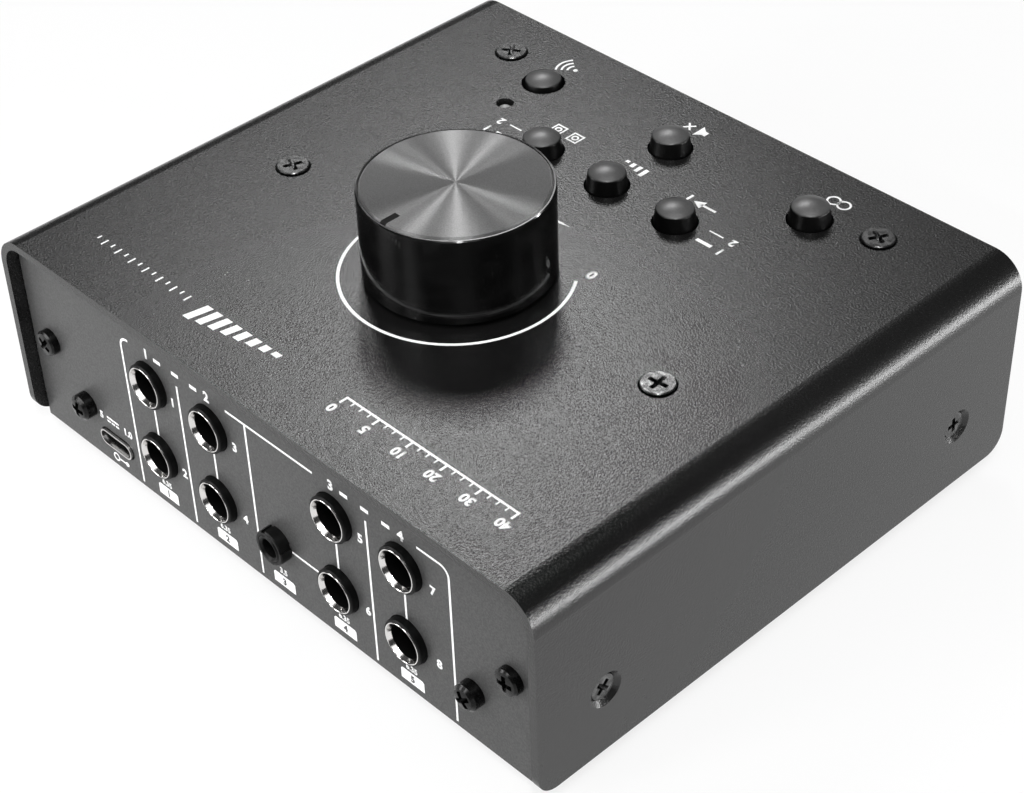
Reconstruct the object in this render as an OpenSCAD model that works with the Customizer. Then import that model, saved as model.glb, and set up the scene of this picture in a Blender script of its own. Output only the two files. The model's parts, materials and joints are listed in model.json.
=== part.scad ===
// Desktop volume controller: a folded sheet-metal case with a large level knob and six push
// buttons on top, and eight 6.35 mm jacks, a 3.5 mm socket and a power socket at the back.
// Millimetres, +Z up. The origin is on the table, under the middle of the case.
// The user sits at -Y; the sockets are in the panel at +Y.

/* [Case] */
// Width of the cover, side to side
case_w = 131; // [120:1:160]
// Depth of the cover, front edge to rear edge
case_d = 113; // [104:1:140]
// Height of the cover's side walls, lower edge to top surface
case_h = 39.5; // [37:0.5:50]
// Thickness of the cover's sheet
sheet_t = 1.5; // [1:0.1:2]
// Outside radius of the two long bends
bend_r = 6; // [3:0.5:8]
// Radius on the lower corners of the side walls
wall_corner_r = 4; // [2:0.5:6]
// Thickness of the base tray and the rear panel
tray_t = 1.2; // [0.8:0.1:1.6]
// How far the front wall and the rear panel sit inside the cover's edges
panel_recess = 2.4; // [1.5:0.1:4]
// How far the base's underside lies below the cover's lower edge
base_drop = 1; // [0.5:0.1:1.2]
// Height of the rubber feet
foot_h = 2.5; // [2:0.5:6]
// Diameter of the rubber feet
foot_d = 11; // [8:0.5:14]

/* [Knob] */
// Diameter of the knob
knob_d = 32.6; // [26:0.1:36]
// Height of the knob's top above the cover
knob_top = 17.5; // [14:0.5:20]
// Gap under the knob's skirt
knob_gap = 0.8; // [0.5:0.1:1.5]
// Distance of the knob's axis from the cover's rear edge
knob_back = 47.3; // [44:0.1:52]
// Thickness of the metal cap disc
cap_t = 2.4; // [1.6:0.1:3]
// Width of the pointer line
pointer_w = 1.3; // [0.5:0.1:2]
// Length of the pointer line, from the rim inward
pointer_len = 3.3; // [2:0.1:5]
// Diameter of the control shaft
shaft_d = 6; // [4:0.5:6.5]

/* [Buttons] */
// Diameter of a button cap's domed top
button_d = 6.8; // [5:0.1:8]
// How much wider in radius a cap's side is at the cover than at its top
button_flare = 0.35; // [0.1:0.05:0.5]
// Gap all round a cap in its hole
button_gap = 0.35; // [0.3:0.05:0.8]
// Height of a released cap's edge above the cover
button_out = 2.7; // [2:0.1:3.5]
// Rise of a cap's dome above its edge
button_dome = 0.9; // [0.3:0.1:1.2]
// How far a cap goes in at full travel
button_travel = 2.3; // [1.5:0.1:2.4]
// How far a latched cap stays in
latch_drop = 1.9; // [1:0.1:2]
// Pitch of the buttons, side to side
button_pitch = 16; // [14:0.5:18]
// Distance of the front button row from the cover's front edge
row_front = 14.9; // [13:0.1:17]
// Distance between the two button rows
row_gap = 16.1; // [15:0.1:19]
// Diameter of the light's hole
led_hole_d = 3.3; // [3.2:0.1:4]

/* [Jacks] */
// Bore of the 6.35 mm jacks
jack_bore_d = 6.5; // [6.4:0.05:6.6]
// Pitch of neighbouring jacks, side to side
jack_pitch = 16; // [14:0.5:17]
// Distance between the two rows of jacks
jack_rows = 15.4; // [14:0.2:16]
// Drop of the upper row below the cover's top
jack_drop = 13.8; // [13:0.1:15]
// Middle of the pair of output columns
out_x = 20; // [19:0.1:21]
// Middle of the pair of input columns
in_x = -26.6; // [-28:0.1:-25]
// How far a jack's nose stands out of the panel
nose_out = 1.4; // [0.8:0.1:2.5]
// Length of a jack's body behind the panel
jack_len = 28; // [26:0.5:29]
// Position of the 3.5 mm socket, side to side
aux_x = -3.2; // [-4:0.1:-2]
// Bore of the 3.5 mm socket
aux_bore_d = 3.6; // [3.55:0.05:3.8]
// How far the 3.5 mm socket stands out of the panel
aux_out = 2.4; // [2:0.1:4]
// Position of the power socket, side to side
power_x = 41.8; // [41:0.1:44]
// How far the power socket stands out of the panel
power_out = 0.5; // [0.3:0.1:1.2]

/* [Fasteners] */
// Diameter of the countersunk heads on the top
top_head_d = 5.8; // [5:0.1:6.5]
// How far the top heads stand proud
top_proud = 0.5; // [0.2:0.05:0.7]
// Diameter of the countersinks in the side walls
side_sink_d = 6.5; // [5.8:0.1:7]
// Diameter of the pan heads on the rear panel
pan_head_d = 4.9; // [4:0.1:5.5]
// Inset of the top screws from the cover's sides
top_screw_in = 21.5; // [19:0.1:24]
// Inset of the side screws from the cover's ends
side_screw_in = 14.3; // [12:0.1:18]
// Height of the side screws above the cover's lower edge
side_screw_z = 13; // [11:0.5:16]

/* [Hidden] */
// Levels and faces of the case
base_z = foot_h;
cover_z = base_z + base_drop;
top_z = cover_z + case_h;
under_z = top_z - sheet_t;
floor_z = base_z + tray_t;
inner_x = case_w / 2 - sheet_t;
panel_y = case_d / 2 - panel_recess;
panel_in_y = panel_y - tray_t;
front_y = -case_d / 2 + panel_recess;
// Clearance of the panels inside the cover
panel_fit = 0.25;
panel_w = 2 * (inner_x - panel_fit);
panel_r = bend_r - sheet_t - panel_fit;
// Inside radius of the tray's bends
tray_r = 1;
fold_r = tray_r + tray_t;
// Thread core, thread clearance and the gap round a loose shank
screw_r = 1.45;
thread_r = 1.5;
loose_r = 1.75;
small_r = 1.2;
small_thread_r = 1.25;
// Boards
board_t = 1.6;
standoff_l = 12;
board_z = under_z - standoff_l;
board_rear_in = 40;
board_rear_y = case_d / 2 - board_rear_in;
hex_r = 5.5 / sqrt(3);
// Knob and control
knob_y = case_d / 2 - knob_back;
knob_r = knob_d / 2;
knob_z0 = top_z + knob_gap;
knob_z1 = top_z + knob_top;
knob_rim_z = knob_z1 - 0.25;
knob_cap_r = knob_r - 0.55;
shaft_r = shaft_d / 2;
shaft_run = 0.05;
bush_r = shaft_r + 0.6;
bush_top = top_z + 3.6;
washer_t = 0.5;
nut_h = 2;
pot_w = 13;
pot_h = 8.5;
// Buttons
button_r = button_d / 2;
skirt_r = button_r + button_flare;
cap_skirt = 4.8;
stem_w = 3;
stem_run = 0.12;
switch_w = 8.6;
switch_h = 5.6;
stem_in = 5.2;
row1_y = -case_d / 2 + row_front;
row2_y = row1_y + row_gap;
led_x = 2 * button_pitch;
led_y = row1_y + 9.85;
// Name, column and row of each button, and how far it stands pressed in at rest
wireless_at = [2 * button_pitch, row1_y, latch_drop];
monitor_at = [button_pitch, row2_y, 0];
dim_at = [0, row2_y, 0];
mute_at = [0, row1_y, 0];
input_at = [-button_pitch, row2_y, 0];
mono_at = [-2 * button_pitch, row1_y, 0];
button_spots = [wireless_at, monitor_at, dim_at, mute_at, input_at, mono_at];
// Jacks
upper_z = top_z - jack_drop;
lower_z = upper_z - jack_rows;
jack_cols = [out_x + jack_pitch / 2, out_x - jack_pitch / 2, in_x + jack_pitch / 2, in_x - jack_pitch / 2];
jack_spots = [for (z = [upper_z, lower_z]) for (x = jack_cols) [x, z]];
bore_r = jack_bore_d / 2;
ferrule_l = 0.7;
ferrule_r = bore_r + 0.47;
nose_r = ferrule_r + 0.53;
jack_w = jack_pitch - 1.6;
jack_h = jack_rows - 1.6;
chamber_l = 10;
rear_wall = 1.2;
jack_rear_y = panel_in_y - jack_len;
jack_board_y = jack_rear_y - board_t;
aux_z = lower_z;
aux_r = aux_bore_d / 2;
aux_nose_r = aux_r + 0.8;
aux_nut_r = aux_nose_r + 0.68;
aux_nut_h = aux_out - 0.2;
aux_len = 15;
power_w = 8.94;
power_h = 3.26;
power_wall = 0.3;
power_l = 8.5;
power_board_z = floor_z + 1.3;
power_z = power_board_z + board_t + power_h / 2;
power_board_x = [power_x - 5.4, inner_x - tray_t - 1.6];
power_board_y = [jack_rear_y + 1, panel_in_y - tray_t - 0.6];
// Screws
top_x = case_w / 2 - top_screw_in;
top_front_in = 11.5;
top_back_in = 48;
top_sink = 0.3;
top_sink_r = top_head_d / 2 + top_sink;
top_y = [-case_d / 2 + top_front_in, case_d / 2 - top_back_in];
top_spots = [for (y = top_y) for (s = [-1, 1]) [s * top_x, y]];
side_y = case_d / 2 - side_screw_in;
side_z = cover_z + side_screw_z;
corner_in = 7.5;
corner_up = 18.7;
corner_x = case_w / 2 - corner_in;
corner_z = cover_z + corner_up;
corner_head_h = 1.8;
// From the sides of the outer jacks to the axes of the pillars beside them
pillar_gap = 7.5;
pillar_up = 9.5;
pillar_x = max([for (x = jack_cols) abs(x)]) + jack_w / 2 + pillar_gap;
pillar_z = cover_z + pillar_up;
pillar_head_h = 2.6;
pillar_thread_l = 9;
board_head_r = 2.75;
board_head_h = 2;
board_in = 13.5;
power_screw_x = power_board_x[1] - 3.2;
power_screw_spots = [[power_screw_x, power_board_y[0] + 4], [power_screw_x, power_board_y[1] - 4]];
// Ribbon cable
ribbon_x = in_x;
ribbon_w = 19;
ribbon_t = 0.9;
header_h = 6.5;
header_y = knob_y - 8;
header_z = lower_z;

// Colours
c_case = [0.17, 0.17, 0.175];
c_black = [0.035, 0.035, 0.04];
c_metal = [0.75, 0.75, 0.76];
c_dark_metal = [0.3, 0.3, 0.31];
c_board = [0.04, 0.13, 0.08];
c_brass = [0.72, 0.6, 0.32];
c_white = [0.82, 0.82, 0.8];
c_grey = [0.42, 0.42, 0.43];

// Outline with its two upper corners rounded, standing on the X axis
module rounded_top(w, h, r) {
  translate([-w / 2, 0]) square([w, h - r]);
  translate([-w / 2 + r, 0]) square([w - 2 * r, h]);
  for (s = [-1, 1]) translate([s * (w / 2 - r), h - r]) circle(r, $fn = 96);
}

// Rectangle with four rounded corners, centred
module rounded_rect(w, h, r) {
  square([w, h - 2 * r], center = true);
  square([w - 2 * r, h], center = true);
  for (x = [-1, 1]) for (y = [-1, 1]) translate([x * (w / 2 - r), y * (h / 2 - r)]) circle(r, $fn = 48);
}

// Slot with round ends, centred
module stadium(w, h) {
  square([w - h, h], center = true);
  for (s = [-1, 1]) translate([s * (w - h) / 2, 0]) circle(h / 2, $fn = 64);
}

// Quarter of a sheet's bend in the plane of the profile, from the -Y side round to the +X side
module fold_2d(r_out, t) {
  intersection() {
    difference() {
      circle(r_out, $fn = 64);
      circle(r_out - t, $fn = 64);
    }
    translate([0, -r_out]) square([r_out, r_out]);
  }
}

// Turns a piece made along +Z so that it points out of the rear panel at (x, z)
module out_of_panel(x, z) {
  translate([x, panel_y, z]) rotate([-90, 0, 0]) children();
}

// Cross recess, its mouth at z = 0, with wings that slope inward
module cross_recess(span, slot, depth) {
  intersection() {
    union() {
      for (a = [0, 90]) rotate(a) translate([-span / 2, -slot / 2, -depth]) cube([span, slot, depth + 0.5]);
    }
    translate([0, 0, -depth]) cylinder(h = depth + 0.5, r1 = slot * 0.75,
      r2 = slot * 0.75 + (span / 2 - slot * 0.75) * (depth + 0.5) / depth, $fn = 48);
  }
}

// Countersunk screw, its head's top at z = 0 and its rim of the given height
module sunk_screw(head_r, rim, cone, shank) {
  difference() {
    union() {
      translate([0, 0, -rim * 0.2]) cylinder(h = rim * 0.2, r1 = head_r, r2 = head_r - rim * 0.2, $fn = 64);
      translate([0, 0, -rim]) cylinder(h = rim * 0.8, r = head_r, $fn = 64);
      translate([0, 0, -rim - cone]) cylinder(h = cone, r1 = screw_r, r2 = head_r, $fn = 64);
      translate([0, 0, -rim - cone - shank]) cylinder(h = shank, r = screw_r, $fn = 48);
    }
    cross_recess(head_r * 1.25, 0.85, 1.2);
  }
}

// Pan-head screw, the head's seat at z = 0, with a nearly straight side and a shallow dome
module pan_screw(head_r, head_h, shank_r, shank) {
  rise = head_h * 0.15;
  edge = head_h * 0.3;
  dome = (head_r * head_r + rise * rise) / (2 * rise);
  difference() {
    union() {
      rotate_extrude($fn = 64) intersection() {
        polygon([[0, 0], [head_r, 0], [head_r, head_h - edge], [head_r - edge, head_h], [0, head_h]]);
        translate([0, head_h - dome]) circle(dome, $fn = 128);
      }
      translate([0, 0, -shank]) cylinder(h = shank, r = shank_r, $fn = 48);
    }
    translate([0, 0, head_h]) cross_recess(head_r * 1.35, 0.9, head_h * 0.7);
  }
}

// Cover: one sheet folded down at the left and right
module top_cover() color(c_case) difference() {
  intersection() {
    translate([0, case_d / 2, cover_z]) rotate([90, 0, 0]) linear_extrude(case_d) difference() {
      rounded_top(case_w, case_h, bend_r);
      translate([0, -1]) rounded_top(case_w - 2 * sheet_t, case_h - sheet_t + 1, bend_r - sheet_t);
    }
    translate([-case_w / 2 - 1, 0, top_z + 1]) rotate([90, 0, 90]) linear_extrude(case_w + 2)
      mirror([0, 1]) rounded_top(case_d, case_h + 1, wall_corner_r);
  }
  for (p = top_spots) translate([p[0], p[1], top_z]) {
    translate([0, 0, -1.3]) cylinder(h = 1.3, r1 = top_sink_r - 1.3, r2 = top_sink_r, $fn = 64);
    translate([0, 0, -sheet_t - 1]) cylinder(h = sheet_t + 1.2, r = loose_r, $fn = 48);
  }
  for (s = [-1, 1]) for (y = [-side_y, side_y])
    translate([s * case_w / 2, y, side_z]) rotate([0, s * 90, 0]) {
    translate([0, 0, -1.4]) cylinder(h = 1.4, r1 = side_sink_d / 2 - 1.4, r2 = side_sink_d / 2, $fn = 64);
    translate([0, 0, -sheet_t - 1]) cylinder(h = sheet_t + 1.2, r = loose_r, $fn = 48);
  }
  for (p = button_spots) translate([p[0], p[1], under_z - 1])
    cylinder(h = sheet_t + 2, r = skirt_r + button_gap, $fn = 64);
  translate([led_x, led_y, under_z - 1]) cylinder(h = sheet_t + 2, r = led_hole_d / 2, $fn = 48);
  translate([0, knob_y, under_z - 1]) cylinder(h = sheet_t + 2, r = bush_r + 0.15, $fn = 64);
}

// Base tray: floor, front wall, side flanges and two rear tabs, all folded from one sheet
flange_y = [front_y + fold_r + 2, panel_in_y - fold_r];
flange_top = cover_z + 20;
tab_clear = 0.5;
tab_rise = 27;
tab_z = [pillar_z + hex_r + tab_clear, cover_z + tab_rise];
tab_x = corner_x - 5;
module base_tray() color(c_case) difference() {
  union() {
    // floor
    translate([-inner_x + fold_r, front_y + fold_r, base_z])
      cube([2 * (inner_x - fold_r), panel_in_y - front_y - fold_r, tray_t]);
    // front wall and its fold
    translate([0, front_y + tray_t, base_z + fold_r]) rotate([90, 0, 0]) linear_extrude(tray_t)
      rounded_top(panel_w, under_z - panel_fit - base_z - fold_r, panel_r);
    translate([-inner_x + fold_r, front_y + fold_r, base_z + fold_r]) rotate([90, 0, 90])
      linear_extrude(2 * (inner_x - fold_r)) mirror([1, 0]) fold_2d(fold_r, tray_t);
    for (s = [0, 1]) mirror([s, 0, 0]) {
      // side flange and its fold
      translate([inner_x - tray_t, flange_y[0], base_z + fold_r])
        cube([tray_t, flange_y[1] - flange_y[0], flange_top - base_z - fold_r]);
      translate([inner_x - fold_r, flange_y[1], base_z + fold_r]) rotate([90, 0, 0])
        linear_extrude(flange_y[1] - flange_y[0]) fold_2d(fold_r, tray_t);
      // rear tab and its fold
      translate([tab_x, panel_in_y - tray_t, tab_z[0]])
        cube([inner_x - fold_r - tab_x, tray_t, tab_z[1] - tab_z[0]]);
      translate([inner_x - fold_r, panel_in_y - fold_r, tab_z[0]]) linear_extrude(tab_z[1] - tab_z[0])
        mirror([0, 1]) fold_2d(fold_r, tray_t);
      translate([inner_x - tray_t, flange_y[1] - 6, base_z + fold_r])
        cube([tray_t, 6, tab_z[1] - base_z - fold_r]);
    }
    // pressed-in spacers for the power board
    for (p = power_screw_spots) translate([p[0], p[1], floor_z - 0.2])
      cylinder(h = power_board_z - floor_z + 0.2, r = 2.6, $fn = 48);
  }
  for (s = [-1, 1]) {
    for (y = [-side_y, side_y]) translate([s * inner_x, y, side_z]) rotate([0, s * 90, 0])
      translate([0, 0, -tray_t - 1]) cylinder(h = tray_t + 2, r = thread_r, $fn = 48);
    translate([s * corner_x, panel_in_y + 1, corner_z]) rotate([90, 0, 0])
      cylinder(h = tray_t + 2, r = small_thread_r, $fn = 48);
  }
  for (p = power_screw_spots) translate([p[0], p[1], base_z + 0.4])
    cylinder(h = power_board_z, r = small_thread_r, $fn = 48);
}

// Rear panel: a flat plate with all the socket holes
module rear_panel() color(c_case) difference() {
  translate([0, panel_y, base_z]) rotate([90, 0, 0]) linear_extrude(tray_t)
    rounded_top(panel_w, under_z - panel_fit - base_z, panel_r);
  for (p = jack_spots) out_of_panel(p[0], p[1])
    translate([0, 0, -tray_t - 1]) cylinder(h = tray_t + 2, r = nose_r + 0.15, $fn = 64);
  out_of_panel(aux_x, aux_z) translate([0, 0, -tray_t - 1])
    cylinder(h = tray_t + 2, r = aux_nose_r + 0.1, $fn = 64);
  out_of_panel(power_x, power_z) translate([0, 0, -tray_t - 1]) linear_extrude(tray_t + 2)
    stadium(power_w + 0.5, power_h + 0.5);
  for (s = [-1, 1]) {
    out_of_panel(s * corner_x, corner_z) translate([0, 0, -tray_t - 1])
      cylinder(h = tray_t + 2, r = small_r + 0.2, $fn = 48);
    out_of_panel(s * pillar_x, pillar_z) translate([0, 0, -tray_t - 1])
      cylinder(h = tray_t + 2, r = small_r + 0.2, $fn = 48);
  }
}

// Four stuck-on feet with a chamfered rim and a shallow dish
module rubber_feet() color(c_black) for (x = [-1, 1]) for (y = [-1, 1])
  translate([x * (case_w / 2 - 14.5), y * (case_d / 2 - 16), 0]) difference() {
    union() {
      cylinder(h = 0.5, r1 = foot_d / 2 - 0.5, r2 = foot_d / 2, $fn = 64);
      translate([0, 0, 0.5]) cylinder(h = foot_h - 0.5, r = foot_d / 2, $fn = 64);
    }
    translate([0, 0, -0.5]) cylinder(h = 1, r = foot_d / 4, $fn = 48);
  }

// Screws that hold the cover to the board's standoffs
module cover_top_screws() color(c_black) for (p = top_spots)
  translate([p[0], p[1], top_z + top_proud]) rotate(20 + 31 * sign(p[0]) + 17 * sign(p[1]))
    sunk_screw(top_head_d / 2, top_proud + top_sink, sheet_t - top_sink, 5);

// Screws that hold the cover to the tray's side flanges, sunk in their countersinks
side_sunk = 0.7;
module cover_side_screws() color(c_black) for (s = [-1, 1]) for (y = [-1, 1])
  translate([s * (case_w / 2 - side_sunk), y * side_y, side_z]) rotate([0, s * 90, 0]) rotate(25 + 20 * y)
    sunk_screw(side_sink_d / 2 - side_sunk - 0.2, 0.1, sheet_t - side_sunk - 0.1, tray_t + 2);

// Outer rear screws, into the tray's tabs
module panel_corner_screws() color(c_black) for (s = [-1, 1]) out_of_panel(s * corner_x, corner_z)
  rotate(30 + 25 * s) pan_screw(pan_head_d / 2, corner_head_h, small_r, 2 * tray_t + 3);

// Inner rear screws, into the jack board's pillars
module panel_pillar_screws() color(c_black) for (s = [-1, 1]) out_of_panel(s * pillar_x, pillar_z)
  rotate(15 - 20 * s) pan_screw(pan_head_d / 2, pillar_head_h, small_r, tray_t + 6);

// Section of the control shaft: round with a flat
module d_section(r, grow) {
  difference() {
    circle(r + grow, $fn = 64);
    translate([-2 * r, r / 2 + grow]) square([4 * r, 2 * r]);
  }
}

// Knob: a gloss sleeve, hollow below, with a hub on the shaft and a seat for the metal disc
hub_r = shaft_r + 2.6;
hub_z0 = bush_top + 0.7;
shaft_z1 = knob_z1 - cap_t - 1.6;
module volume_knob() color(c_black) translate([0, knob_y, 0]) difference() {
  union() {
    translate([0, 0, knob_z0]) cylinder(h = 0.4, r1 = knob_r - 0.4, r2 = knob_r, $fn = 128);
    translate([0, 0, knob_z0 + 0.4]) cylinder(h = knob_rim_z - knob_z0 - 0.6, r = knob_r, $fn = 128);
    translate([0, 0, knob_rim_z - 0.2]) cylinder(h = 0.2, r1 = knob_r, r2 = knob_r - 0.2, $fn = 128);
  }
  translate([0, 0, knob_z1 - cap_t]) cylinder(h = cap_t + 1, r = knob_cap_r + 0.1, $fn = 128);
  difference() {
    translate([0, 0, knob_z0 - 1])
      cylinder(h = knob_z1 - cap_t - 3 - knob_z0 + 1, r = knob_r - 2.4, $fn = 128);
    translate([0, 0, hub_z0]) cylinder(h = knob_z1, r = hub_r, $fn = 96);
    for (a = [30:60:330]) rotate(a) translate([0, -0.6, hub_z0 + 2]) cube([knob_r, 1.2, knob_z1]);
  }
  translate([0, 0, hub_z0 - 1]) linear_extrude(shaft_z1 + 0.2 - hub_z0 + 1) d_section(shaft_r, 0.02);
}

// Spun metal disc on the knob, with a bright chamfer and a slot for the pointer
cap_chamfer = 0.4;
module knob_cap() color(c_metal) translate([0, knob_y, 0]) difference() {
  union() {
    translate([0, 0, knob_z1 - cap_t]) cylinder(h = cap_t - cap_chamfer, r = knob_cap_r, $fn = 128);
    translate([0, 0, knob_z1 - cap_chamfer])
      cylinder(h = cap_chamfer, r1 = knob_cap_r, r2 = knob_cap_r - cap_chamfer, $fn = 128);
  }
  translate([-pointer_w / 2, knob_cap_r - pointer_len, knob_z1 - 0.6]) cube([pointer_w, pointer_len + 1, 1]);
}

// Pointer: a black inlay in the disc's slot
module knob_pointer() color(c_black) translate([0, knob_y, 0]) intersection() {
  translate([-pointer_w / 2, knob_cap_r - pointer_len, knob_z1 - 0.6]) cube([pointer_w, pointer_len, 0.55]);
  union() {
    translate([0, 0, knob_z1 - 2]) cylinder(h = 2 - cap_chamfer, r = knob_cap_r, $fn = 128);
    translate([0, 0, knob_z1 - cap_chamfer])
      cylinder(h = cap_chamfer, r1 = knob_cap_r, r2 = knob_cap_r - cap_chamfer, $fn = 128);
  }
}

// Shaft of the control, flatted where the knob sits, with a wiper disc inside the body
module pot_shaft() color(c_metal) translate([0, knob_y, 0]) {
  translate([0, 0, board_z + 1.6]) cylinder(h = 1.4, r = pot_w / 2 - 1.5, $fn = 64);
  translate([0, 0, board_z + 1.6]) cylinder(h = hub_z0 - 0.2 - board_z - 1.6, r = shaft_r, $fn = 64);
  translate([0, 0, hub_z0 - 0.3]) linear_extrude(shaft_z1 - hub_z0 + 0.3) d_section(shaft_r, 0);
}

// Body of the control: a case on the board, hollow for the wiper, with a threaded bush
module pot_body() color(c_dark_metal) translate([0, knob_y, 0]) difference() {
  union() {
    translate([0, 0, board_z]) linear_extrude(pot_h) rounded_rect(pot_w, pot_w, 1);
    translate([0, 0, board_z + pot_h - 0.5])
      cylinder(h = bush_top - board_z - pot_h + 0.5, r = bush_r, $fn = 64);
    for (x = [-5, 0, 5]) translate([x - 0.6, -pot_w / 2 - 2.4, board_z]) cube([1.2, 3, 0.3]);
  }
  translate([0, 0, board_z + 1.2]) cylinder(h = 2.4, r = pot_w / 2 - 1, $fn = 64);
  translate([0, 0, board_z + 1.2]) cylinder(h = bush_top, r = shaft_r + shaft_run, $fn = 64);
}

module pot_washer() color(c_metal) translate([0, knob_y, top_z]) difference() {
  cylinder(h = washer_t, r = bush_r + 2.6, $fn = 64);
  translate([0, 0, -1]) cylinder(h = washer_t + 2, r = bush_r + 0.05, $fn = 64);
}

module pot_nut() color(c_metal) translate([0, knob_y, top_z + washer_t]) difference() {
  intersection() {
    cylinder(h = nut_h, r = (bush_r + 1.5) * 2 / sqrt(3), $fn = 6);
    cylinder(h = nut_h, r1 = bush_r + 3.4, r2 = bush_r + 1.7, $fn = 64);
  }
  translate([0, 0, -1]) cylinder(h = nut_h + 2, r = bush_r + 0.02, $fn = 64);
}

// Half-section of a button cap: straight skirt, side that leans in, small round edge, shallow dome
module cap_section(h) {
  e = 0.5;
  big = (button_r * button_r + button_dome * button_dome) / (2 * button_dome);
  zc = h + button_dome - big;
  zf = zc + sqrt((big - e) * (big - e) - (button_r - e) * (button_r - e));
  k = 1.3 * big / (big - e);
  polygon([[0, 0], [skirt_r, 0], [skirt_r, cap_skirt], [button_r, zf], [0, zf]]);
  translate([button_r - e, zf]) intersection() {
    circle(e, $fn = 48);
    translate([0, -e]) square([e, 2 * e]);
  }
  intersection() {
    translate([0, zc]) circle(big, $fn = 128);
    polygon([[0, zc], [0, zc + 1.3 * big], [k * (button_r - e), zc + k * (zf - zc)]]);
    translate([0, zf - 0.5]) square([button_r, big]);
  }
}

// Button cap with a socket for the stem
module button_cap(p) color(c_black) translate([p[0], p[1], top_z - cap_skirt - p[2]]) difference() {
  rotate_extrude($fn = 96) cap_section(cap_skirt + button_out);
  translate([-stem_w / 2 - 0.02, -stem_w / 2 - 0.02, -1]) cube([stem_w + 0.04, stem_w + 0.04, 1 + 3]);
}

// Stem of a switch: a square plunger with a foot that stays inside the body
module button_stem(p) color(c_white) translate([p[0], p[1], top_z - cap_skirt - p[2]]) {
  translate([-stem_w / 2, -stem_w / 2, -stem_in]) cube([stem_w, stem_w, stem_in + 3]);
  translate([-stem_w / 2 - 0.6, -stem_w / 2, -stem_in]) cube([stem_w + 1.2, stem_w, 0.8]);
}

// Body of a latching switch, standing on the board on six flat feet
switch_room = board_z + 0.6;
module switch_body(p) color(c_dark_metal) translate([p[0], p[1], 0]) difference() {
  union() {
    translate([0, 0, board_z]) linear_extrude(switch_h) rounded_rect(switch_w, switch_w, 0.6);
    for (x = [-2.5, 0, 2.5]) translate([x - 0.4, -switch_w / 2 - 1.2, board_z])
      cube([0.8, switch_w + 2.4, 0.25]);
  }
  translate([-stem_w / 2 - stem_run, -stem_w / 2 - stem_run, switch_room])
    cube([stem_w + 2 * stem_run, stem_w + 2 * stem_run, switch_h + 1]);
  translate([-stem_w / 2 - 0.9, -stem_w / 2 - stem_run, switch_room])
    cube([stem_w + 1.8, stem_w + 2 * stem_run, switch_h - 1.2]);
}

// Status light: a flanged dome on two legs
led_r = led_hole_d / 2 - 0.15;
led_top = top_z - 0.5;
led_base = led_top - led_r - 3.6;
module status_led() color([0.85, 0.87, 0.9]) translate([led_x, led_y, 0]) {
  translate([0, 0, led_base]) cylinder(h = 0.9, r = led_r + 0.35, $fn = 48);
  translate([0, 0, led_base]) cylinder(h = led_top - led_r - led_base, r = led_r, $fn = 48);
  intersection() {
    translate([0, 0, led_top - led_r]) sphere(led_r, $fn = 64);
    translate([-5, -5, led_top - led_r - 0.2]) cube([10, 10, 10]);
  }
  for (s = [-1, 1]) translate([s * 0.85 - 0.25, -0.25, board_z - board_t - 1.4])
    cube([0.5, 0.5, led_base + 0.3 - board_z + board_t + 1.4]);
}

module led_spacer() color(c_black) translate([led_x, led_y, board_z]) difference() {
  cylinder(h = led_base - board_z, r = led_r + 0.4, $fn = 48);
  for (s = [-1, 1]) translate([s * 0.85 - 0.3, -0.3, -1]) cube([0.6, 0.6, led_base]);
}

// Board under the cover, hung from the top screws
board_x = case_w / 2 - board_in;
module control_board() color(c_board) difference() {
  translate([0, (front_y + tray_t + 2 + board_rear_y) / 2, board_z - board_t]) linear_extrude(board_t)
    rounded_rect(2 * board_x, board_rear_y - front_y - tray_t - 2, 2);
  for (p = top_spots) translate([p[0], p[1], board_z - board_t - 1])
    cylinder(h = board_t + 2, r = loose_r, $fn = 48);
  for (s = [-1, 1]) translate([led_x + s * 0.85 - 0.3, led_y - 0.3, board_z - board_t - 1])
    cube([0.6, 0.6, board_t + 2]);
}

module board_standoffs() color(c_brass) for (p = top_spots) translate([p[0], p[1], board_z]) difference() {
  cylinder(h = standoff_l, r = hex_r, $fn = 6);
  translate([0, 0, -1]) cylinder(h = standoff_l + 2, r = thread_r, $fn = 48);
}

// Screws from the boards into the standoffs and the pillars
module board_screws() color(c_metal) {
  for (p = top_spots) translate([p[0], p[1], board_z - board_t]) mirror([0, 0, 1])
    pan_screw(board_head_r, board_head_h, screw_r, 6);
  for (s = [-1, 1]) translate([s * pillar_x, jack_board_y, pillar_z]) rotate([90, 0, 0])
    pan_screw(board_head_r, board_head_h, screw_r, 6);
}

// Upright board that carries the jacks
jack_board_z = [floor_z + 3.5, under_z - 3];
module jack_board() color(c_board) difference() {
  translate([0, jack_board_y, (jack_board_z[0] + jack_board_z[1]) / 2]) rotate([-90, 0, 0])
    linear_extrude(board_t) rounded_rect(2 * (pillar_x + 4.5), jack_board_z[1] - jack_board_z[0], 2);
  for (s = [-1, 1]) translate([s * pillar_x, jack_rear_y + 1, pillar_z]) rotate([90, 0, 0])
    cylinder(h = board_t + 2, r = loose_r, $fn = 48);
  for (p = jack_spots) for (s = [-1, 1])
    translate([p[0] - 0.7, jack_board_y - 1, p[1] + s * contact_at - 0.45]) cube([1.4, board_t + 2, 0.9]);
}

module jack_pillars() color(c_brass) for (s = [-1, 1]) translate([s * pillar_x, panel_in_y, pillar_z])
  rotate([90, 0, 0]) difference() {
    cylinder(h = jack_len, r = hex_r, $fn = 6);
    translate([0, 0, -1]) cylinder(h = pillar_thread_l, r = small_thread_r, $fn = 48);
    translate([0, 0, jack_len - pillar_thread_l]) cylinder(h = pillar_thread_l + 1, r = thread_r, $fn = 48);
  }

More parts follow.
